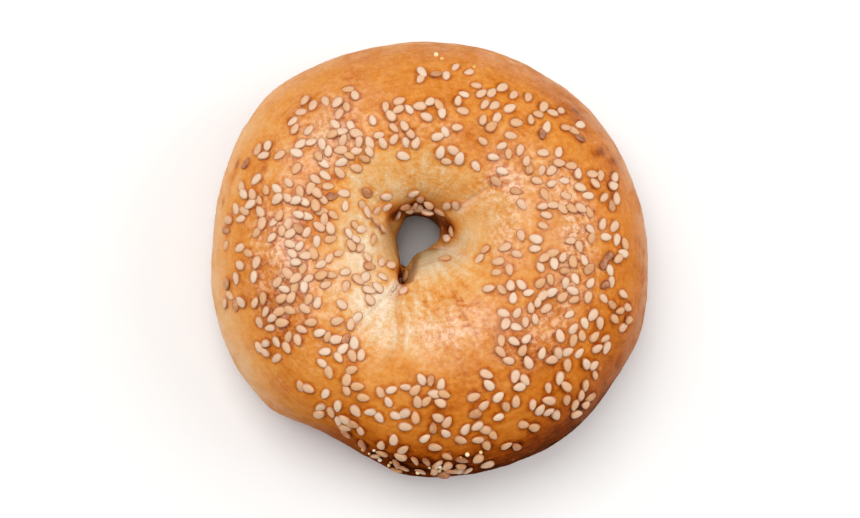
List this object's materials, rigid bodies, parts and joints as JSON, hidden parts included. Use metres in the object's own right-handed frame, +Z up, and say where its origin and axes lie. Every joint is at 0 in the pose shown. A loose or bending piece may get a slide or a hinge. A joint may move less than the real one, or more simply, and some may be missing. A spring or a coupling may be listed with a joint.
{
  "type": "bagel",
  "caption": "Whole uncut round bagel with an off-centre tapering hole, a browned crust and sesame seeds strewn over the top.",
  "frame": {"origin": "on the resting plane, under the middle of the whole", "axes": "+Z up through the hole; +X to the right and +Y away from the viewer, as the picture shows it from above"},
  "size_m": [0.1072, 0.1072, 0.0372],
  "materials": {
    "crust": "baked crust with a soft sheen, pale round the hole, golden on top and brown low on the sides",
    "sesame seed": "hulled sesame seed, cream to toasted tan, satin",
    "corn meal": "coarse meal grains, pale yellow to white, matte"
  },
  "bodies": {
    "root": {"bagel": "crust"}
  },
  "joints": []
}
